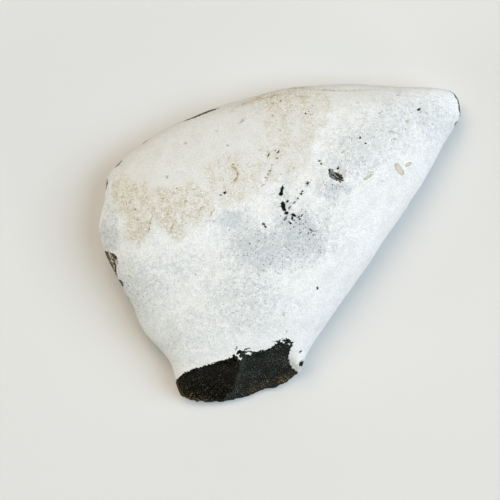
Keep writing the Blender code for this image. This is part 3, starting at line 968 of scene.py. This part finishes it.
@dataclass(frozen=True)
class Places:
    """The mesh's points in millimetres, one row each, as the marks on the stone are looked up."""

    true: np.ndarray
    top: np.ndarray  # True where the eye above can see the point
    seen: np.ndarray  # where that eye sees it
    near: np.ndarray  # the same, shaken a little for small marks
    broad: np.ndarray  # how each point is shaken for broad patches
    shaken: np.ndarray  # as seen, with most of that shake

    @classmethod
    def of(cls, points: np.ndarray, facing_up: np.ndarray) -> "Places":
        """Looks up the points of a mesh.

        Args:
            points: places in millimetres.
            facing_up: the upward part of each point's normal.

        Returns:
            The places.
        """
        seen, broad = as_seen(points), shakes(points, BROAD_SHAKE)
        near = seen + shakes(seen, SMALL_SHAKE)
        return cls(points, facing_up > -0.2, seen, near, broad, seen + broad * 0.9)


@dataclass
class Stone:
    """The nodule itself, one closed mesh shaped from the solid. Sizes are in millimetres."""

    name: str = "flint_stone"
    voxel: float = 0.48
    crease_angle: float = 32.0  # degrees; sharper edges of the solid stay edges
    crease: float = 0.8
    relax_rounds: int = 8
    noise_seed: int = 1  # never 0, which would take the time of day
    face_tolerance: float = 0.12  # how far off a scar's surface its facets may be
    search_reach: float = 6.0  # distances to the solid's faces are cut off here
    margins: tuple[float, ...] = (0.5, 0.25)  # round small marks, for each round of finer splitting
    pit_slope: float = 0.9  # a pit's depth over its half width
    deepest_pit: float = 0.5
    crease_depth: float = 0.15  # of the brown creases and grey marks
    blow: tuple[float, float, float] = (-30.0, -34.0, 16.0)  # where the rings on the break run out from
    ring_spacing: float = 3.1
    ring_height: float = 0.03
    reliefs: tuple[Relief, ...] = (
        Relief("lumpy_cortex", 5.0, 0.28, Ground.CORTEX),
        Relief("chalk_tooth", 1.1, 0.07, Ground.CORTEX),
        Relief("stain_grit", 0.9, 0.34, Ground.STAIN),
        Relief("stain_ledges", 2.6, 0.30, Ground.STAIN),
        Relief("flint_grain", 0.6, 0.09, Ground.FLINT),
    )
    piece: bpy.types.Object = field(init=False)
    trees: dict[Skin, BVHTree] = field(init=False, default_factory=dict)
    fields: dict[Layer, np.ndarray] = field(init=False, default_factory=dict)
    weights: dict[Ground, np.ndarray] = field(init=False, default_factory=dict)

    def build(self) -> bpy.types.Object:
        """Makes the stone.

        Returns:
            The finished object, riding on its body.
        """
        noise.seed_set(self.noise_seed)
        self.copy_solid()
        self.label_faces()
        self.round_facets()
        self.put(self.with_lip(self.with_rind(self.points())))
        self.remesh()
        self.refine()
        self.survey()
        self.sink_pits()
        for relief in self.reliefs:
            self.press(relief)
        self.ripple_break()
        self.rest()
        self.survey()
        self.dress()
        return self.piece

    def copy_solid(self) -> None:
        """Copies the solid's mesh into a new object and merges its loose triangles."""
        bpy.ops.object.select_all(action="DESELECT")
        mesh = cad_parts[NODE].data.copy()
        mesh.materials.clear()
        mesh.name = self.name
        self.piece = bpy.data.objects.new(self.name, mesh)
        bpy.context.collection.objects.link(self.piece)
        self.piece.select_set(True)
        bpy.context.view_layer.objects.active = self.piece
        bpy.ops.object.mode_set(mode="EDIT")
        bpy.ops.mesh.select_all(action="SELECT")
        bpy.ops.mesh.remove_doubles(threshold=0.001 * MM)
        bpy.ops.object.mode_set(mode="OBJECT")

    def points(self) -> np.ndarray:
        """The mesh's points in millimetres, one row each."""
        vertices = self.piece.data.vertices
        flat = np.zeros(len(vertices) * 3)
        vertices.foreach_get("co", flat)
        return flat.reshape(-1, 3) / MM

    def put(self, points: np.ndarray) -> None:
        """Puts the mesh's points at new places, in millimetres."""
        self.piece.data.vertices.foreach_set("co", (points * MM).ravel())
        self.piece.data.update()

    def normals(self) -> np.ndarray:
        """The mesh's point normals, one row each."""
        flat = np.zeros(len(self.piece.data.vertices) * 3)
        self.piece.data.vertex_normals.foreach_get("vector", flat)
        return flat.reshape(-1, 3)

    def move(self, heights: np.ndarray) -> None:
        """Moves every point along its normal.

        Args:
            heights: millimetres for each point, outward positive.
        """
        self.put(self.points() + self.normals() * heights[:, None])

    def label_faces(self) -> None:
        """Sorts the solid's faces into cortex, the two fresh breaks and the old scars, as search trees."""
        points = self.points()
        corners = [list(face.vertices) for face in self.piece.data.polygons]
        facing = np.array([face.normal for face in self.piece.data.polygons])
        taken = np.zeros(len(corners), bool)
        kinds = {Skin.LEFT_BREAK: (FRESH_LEFT,), Skin.RIGHT_BREAK: (FRESH_RIGHT,), Skin.OLD_SCAR: OLD_SCARS}
        for skin, scars in kinds.items():
            found = np.zeros(len(corners), bool)
            for scar in scars:
                on_face = scar.holds(points, self.face_tolerance)
                turned = facing @ np.array(Vector(scar.facing).normalized()) > 0.8
                found |= turned & np.array([on_face[face].all() for face in corners])
            found &= ~taken
            taken |= found
            self.trees[skin] = self.tree_of(points, corners, found)
        self.trees[Skin.CORTEX] = self.tree_of(points, corners, ~taken)
        self.trees[Skin.FLINT] = self.tree_of(points, corners, taken)

    @staticmethod
    def tree_of(points: np.ndarray, corners: list[list[int]], chosen: np.ndarray) -> BVHTree:
        """A search tree of the chosen faces.

        Args:
            points: the mesh's points.
            corners: each face's point numbers.
            chosen: which faces go in.

        Returns:
            The search tree.
        """
        return BVHTree.FromPolygons(points.tolist(), [corners[i] for i in np.flatnonzero(chosen)])

    def distance_to(self, skin: Skin, points: np.ndarray) -> np.ndarray:
        """Millimetres from each point to the solid's faces of one kind.

        Args:
            skin: the kind of face.
            points: places in millimetres.

        Returns:
            The distances, at most search_reach.
        """
        reach = self.search_reach
        found = [self.trees[skin].find_nearest(point, reach)[3] for point in points.tolist()]
        return np.array([reach if distance is None else distance for distance in found])

    def modify(self, kind: str, **settings: object) -> None:
        """Adds a modifier to the stone and applies it.

        Args:
            kind: Blender's name of the modifier's type.
            settings: the modifier's options.
        """
        modifier = self.piece.modifiers.new(kind.lower(), kind)
        for option, value in settings.items():
            setattr(modifier, option, value)
        bpy.ops.object.modifier_apply(modifier=modifier.name)

    def round_facets(self) -> None:
        """Turns the solid's flat facets into one smooth surface that keeps its sharp edges."""
        bpy.ops.object.mode_set(mode="EDIT")
        bpy.ops.mesh.select_all(action="DESELECT")
        bpy.ops.mesh.select_mode(type="EDGE")
        bpy.ops.mesh.edges_select_sharp(sharpness=math.radians(self.crease_angle))
        bpy.ops.transform.edge_crease(value=self.crease)
        bpy.ops.mesh.select_all(action="SELECT")
        bpy.ops.mesh.tris_convert_to_quads(face_threshold=math.radians(20), shape_threshold=math.radians(40))
        bpy.ops.object.mode_set(mode="OBJECT")
        self.modify("SUBSURF", levels=2, render_levels=2)

    def with_rind(self, points: np.ndarray) -> np.ndarray:
        """Raises the chalk rind right of the break to the level of its flank.

        Args:
            points: the mesh's points.

        Returns:
            The points, those of the rind raised.
        """
        flank = RIND_HEIGHT + (points[:, :2] - np.array(RIND_POINT)) @ np.array(RIND_SLOPE)
        outside = -FRESH_BREAK.depth_inside(as_seen(points))
        share = smooth_step(outside, 0.0, 1.6) * smooth_step(points[:, 0], 1.0, 2.2) * (points[:, 2] > 2.5)
        share *= (self.distance_to(Skin.RIGHT_BREAK, points) < 0.8) & (self.normals()[:, 2] > 0.1)
        points[:, 2] += np.clip(flank - points[:, 2], 0, None) * share
        return points

    def with_lip(self, points: np.ndarray) -> np.ndarray:
        """Draws the break's lower lip out into its uneven edge.

        Args:
            points: the mesh's points.

        Returns:
            The points, those of the lip further out.
        """
        breaks = (Skin.LEFT_BREAK, Skin.RIGHT_BREAK)
        from_break = np.min([self.distance_to(skin, points) for skin in breaks], axis=0)
        low = smooth_step(-points[:, 2], -6.5, -1.0) * smooth_step(-from_break, -3.5, -0.5)
        points[:, 1] -= np.interp(points[:, 0], *LIP_REACH) * low
        return points

    def remesh(self) -> None:
        """Gives the stone an even fine mesh and takes off the last of the facets."""
        self.modify("REMESH", mode="VOXEL", voxel_size=self.voxel * MM)
        self.modify("SMOOTH", factor=0.5, iterations=self.relax_rounds)

    def refine(self) -> None:
        """Splits the mesh finely round every small mark, so that each has a shape of its own."""
        small = PITS + BARE_SPOTS + CHALK_FLECKS + SHELLS + GREYS + BROWNS
        for margin in self.margins:
            mesh = self.piece.data
            centres = np.zeros(len(mesh.polygons) * 3)
            mesh.polygons.foreach_get("center", centres)
            centres = as_seen(centres.reshape(-1, 3) / MM)
            grown = tuple(Spot(s.x, s.y, s.long + margin, s.wide + margin, s.turn) for s in small)
            near = deepest(centres, grown) > 0
            near |= np.abs(FRESH_BREAK.depth_inside(centres)) < 0.4 + margin
            near &= centres[:, 2] > 2.0
            mesh.polygons.foreach_set("select", near)
            bpy.ops.object.mode_set(mode="EDIT")
            bpy.ops.mesh.select_mode(type="FACE")
            bpy.ops.mesh.subdivide(number_cuts=1)
            bpy.ops.mesh.select_all(action="DESELECT")
            bpy.ops.object.mode_set(mode="OBJECT")

    def survey(self) -> None:
        """Works out every field at every point of the mesh, and where each ground takes relief."""
        at = Places.of(self.points(), self.normals()[:, 2])
        self.fields = {**self.flint_fields(at), **self.cortex_fields(at)}
        flinty = smooth_step(self.fields[Layer.FLINT], -0.2, 0.2)
        self.weights = {
            Ground.FLINT: flinty,
            Ground.STAIN: self.fields[Layer.STAIN] * (1 - flinty),
            Ground.CORTEX: 1 - flinty,
        }

    def flint_fields(self, at: Places) -> dict[Layer, np.ndarray]:
        """Works out where bare flint shows, and which kind.

        Args:
            at: the mesh's points.

        Returns:
            The fields that say so.
        """
        breaks = [self.distance_to(skin, at.true) for skin in (Skin.LEFT_BREAK, Skin.RIGHT_BREAK)]
        by_break = (at.top & (at.true[:, 1] < -20)) | (np.min(breaks, axis=0) < 3)
        flint = self.distance_to(Skin.CORTEX, at.true) - self.distance_to(Skin.FLINT, at.true)
        drawn = np.minimum(FRESH_BREAK.depth_inside(at.near), -reach_inside(at.near, CHALK_FLECKS))
        chips, edges = deepest(at.near, CHIPS), deepest(at.near, EDGE_FLINTS)
        spots = np.maximum.reduce([reach_inside(at.near, BARE_SPOTS), chips, edges])
        shown = np.where(by_break & at.top, drawn, flint)
        past_parting = at.near[:, 0] - np.interp(at.near[:, 1], *BREAK_PARTING)
        old = smooth_step(-self.distance_to(Skin.OLD_SCAR, at.true), -1.0, -0.3)
        old_chip = (chips > -0.5) * (at.true[:, 0] < -30)
        return {
            Layer.FLINT: np.maximum(shown, np.where(at.top, spots, FAR_OUTSIDE)),
            Layer.COOL_BREAK: np.clip(past_parting, FAR_OUTSIDE, 2.0),
            Layer.WARM_BREAK: cover(at.seen, WARM_FLINTS, 0.6),
            Layer.OLD_SCAR: np.maximum.reduce([old, smooth_step(edges, -0.3, 0.0), old_chip]),
            Layer.THIN_EDGE: smooth_step(deepest(at.near, THIN_RIMS), 0.1, 0.5),
            Layer.CHIP: np.where(at.top, np.clip(chips, FAR_OUTSIDE, None), FAR_OUTSIDE),
        }

    @staticmethod
    def cortex_fields(at: Places) -> dict[Layer, np.ndarray]:
        """Works out what lies on the cortex and in it.

        Args:
            at: the mesh's points.

        Returns:
            The fields that say so.
        """
        above = {
            Layer.CREAM: np.clip(CREAM_PATCH.depth_inside(at.shaken), -4, 4),
            Layer.STAIN: cover(at.shaken, STAIN_PATCHES, 1.8),
            Layer.MOTTLE: cover(at.seen + at.broad * 2.4, MOTTLES, 0.7),
            Layer.PEPPER: cover(at.shaken, PEPPERS, 0.6),
            Layer.PIT: reach_inside(at.near, PITS),
            Layer.SHELL: reach_inside(at.seen, SHELLS),
            Layer.GREY: reach_inside(at.near, GREYS),
            Layer.BROWN: reach_inside(at.near, BROWNS),
        }
        below = {
            Layer.CREAM: -4.0,
            Layer.STAIN: cover(at.shaken, UNDER_STAINS, 0.4),
            Layer.MOTTLE: cover(at.shaken, UNDER_MOTTLES, 0.6),
            Layer.PEPPER: cover(at.true, UNDER_PITS, 0.9),
            Layer.PIT: reach_inside(at.near, UNDER_PITS),
        }
        return {
            layer: np.where(at.top, values, below.get(layer, FAR_OUTSIDE)) for layer, values in above.items()
        }

    def sink_pits(self) -> None:
        """Sinks each pit to most of its half width, and the creases a little."""
        seen = as_seen(self.points())
        near = seen + shakes(seen, SMALL_SHAKE)
        heights = np.zeros(len(near))
        for spot in PITS:
            depth = min(spot.wide * self.pit_slope, self.deepest_pit)
            heights = np.minimum(heights, -depth * smooth_step(spot.depth_inside(near), -0.1, 0.6))
        for spot in BROWNS + GREYS:
            crease = self.crease_depth * smooth_step(spot.depth_inside(near), -0.2, 0.6)
            heights = np.minimum(heights, -crease)
        self.move(heights * (self.normals()[:, 2] > 0.1))

    def press(self, relief: Relief) -> None:
        """Presses one grade of relief into the part of the stone that has it.

        Args:
            relief: its texture, size, depth and ground.
        """
        group = self.piece.vertex_groups.new(name=relief.name)
        weights = np.round(self.weights[relief.ground] * 20) / 20
        for level in np.unique(weights):
            if level > 0:
                group.add(np.flatnonzero(weights == level).tolist(), float(level), "REPLACE")
        texture = bpy.data.textures.new(relief.name, "CLOUDS")
        texture.noise_scale = relief.size * MM
        self.modify(
            "DISPLACE", texture=texture, texture_coords="LOCAL", strength=relief.depth * MM,
            mid_level=0.5, vertex_group=relief.name,
        )
        self.piece.vertex_groups.remove(self.piece.vertex_groups[relief.name])

    def ripple_break(self) -> None:
        """Shallow rings on the fresh break, running out from where the blow fell."""
        points = self.points()
        distance = np.linalg.norm(points - np.array(self.blow), axis=1)
        turns = distance * 2 * math.pi / self.ring_spacing + np.sin(distance * 0.9)
        fresh = smooth_step(self.fields[Layer.FLINT], 0.3, 1.2) * smooth_step(-points[:, 1], 24, 27)
        self.move(self.ring_height * np.sin(turns) * fresh)

    def rest(self) -> None:
        """Keeps the stone's foot on the floor that the solid stands on."""
        points = self.points()
        points[:, 2] = np.maximum(points[:, 2], CAD_BOX[0][2] / MM)
        self.put(points)

    def dress(self) -> None:
        """Stores the fields on the mesh, gives it its finish and puts it in the frame."""
        mesh = self.piece.data
        for layer, values in self.fields.items():
            attribute = mesh.attributes.new(layer.value, "FLOAT", "POINT")
            attribute.data.foreach_set("value", values.astype(np.float32))
        mesh.materials.append(StoneFinish.material())
        bpy.ops.object.shade_smooth()
        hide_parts(NODE)
        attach(self.piece, BODY)


@dataclass(frozen=True)
class Window:
    """A large soft square light that looks at the stone, in metres and watts."""

    name: str
    direction: tuple[float, float, float]
    side: float
    colour: str
    watts: float
    distance: float = 2.5

    def hang(self) -> None:
        """Hangs the light."""
        light = bpy.data.lights.new(self.name, "AREA")
        light.shape = "SQUARE"
        light.size = self.side
        light.energy = self.watts
        light.color = linear(self.colour)[:3]
        lamp = bpy.data.objects.new(self.name, light)
        bpy.context.collection.objects.link(lamp)
        towards = Vector(self.direction).normalized()
        lamp.location = towards * self.distance
        lamp.rotation_euler = towards.to_track_quat("Z", "Y").to_euler()
        lamp.visible_camera = False


@dataclass(frozen=True)
class PalePlaster:
    """Plaster floated smooth: pale and matt, so that it takes soft shadows and shows no shine."""

    pale: str = "#dadbd8"
    roughness: float = 0.95
    sheen_level: float = 0.1

    def build(self) -> bpy.types.Material:
        """Makes the material."""
        material = bpy.data.materials.new("matt_pale_plaster")
        material.use_nodes = True
        shader = material.node_tree.nodes["Principled BSDF"]
        shader.inputs["Base Color"].default_value = linear(self.pale)
        shader.inputs["Roughness"].default_value = self.roughness
        shader.inputs["Specular IOR Level"].default_value = self.sheen_level
        return material


@dataclass
class Studio:
    """Pale floor, soft light from both sides and a camera straight above."""

    view_width: float = 120.0  # millimetres across at the level EYE_LEVEL
    sensor: float = 36.0  # millimetres
    floor_reach: float = 3.2  # metres
    backdrop: str = "#e9ebec"
    backdrop_strength: float = 0.85
    fill_strength: float = 0.15
    windows: tuple[Window, ...] = (
        Window("warm_window", (-0.3, 0.5, 1.15), 1.6, "#ffead3", 39.5),
        Window("cool_window", (0.8, 0.05, 1.0), 2.0, "#d8edff", 52.5),
        Window("low_window_right", (0.75, -0.6, 0.2), 0.9, "#ffe4d4", 15.0),
        Window("low_window_left", (-0.9, -0.35, 0.2), 0.9, "#f8fff5", 15.0),
    )

    def build(self) -> None:
        """Makes the floor, lights, backdrop and camera."""
        self.lay_floor()
        for window in self.windows:
            window.hang()
        self.light_room()
        self.set_camera()

    def lay_floor(self) -> None:
        """Lays a wide matt floor under the stone."""
        bpy.ops.object.select_all(action="DESELECT")
        bpy.ops.mesh.primitive_plane_add(size=self.floor_reach)
        floor = bpy.context.object
        floor.name = "floor"
        floor.data.materials.append(PalePlaster().build())

    def light_room(self) -> None:
        """Even pale fill from all round, in front of a paler backdrop."""
        world = bpy.data.worlds.new("pale_room")
        bpy.context.scene.world = world
        world.use_nodes = True
        tree = world.node_tree
        seen = add_node(tree, "LightPath", {}, {})
        strength = add_node(tree, "MapRange", {}, {0: seen, 3: self.fill_strength, 4: self.backdrop_strength})
        background = tree.nodes["Background"]
        background.inputs["Color"].default_value = linear(self.backdrop)
        tree.links.new(strength, background.inputs["Strength"])
        bpy.context.scene.view_settings.view_transform = "Standard"

    def set_camera(self) -> None:
        """Looks straight down at the stone."""
        data = bpy.data.cameras.new("overhead")
        data.sensor_width = self.sensor
        data.lens = self.sensor * EYE_RISE / self.view_width
        camera = bpy.data.objects.new("overhead", data)
        bpy.context.collection.objects.link(camera)
        camera.location = Vector((*EYE_MIDDLE, EYE_LEVEL + EYE_RISE)) * MM
        bpy.context.scene.camera = camera


def main() -> None:
    """Builds the stone and the studio round it."""
    logging.basicConfig(level=logging.INFO, format="%(name)s: %(message)s")
    stone = Stone().build()
    LOG.info("%s has %d triangles", stone.name, sum(len(face.vertices) - 2 for face in stone.data.polygons))
    Studio().build()
    LOG.info("studio is set")


if __name__ == "__main__":
    main()
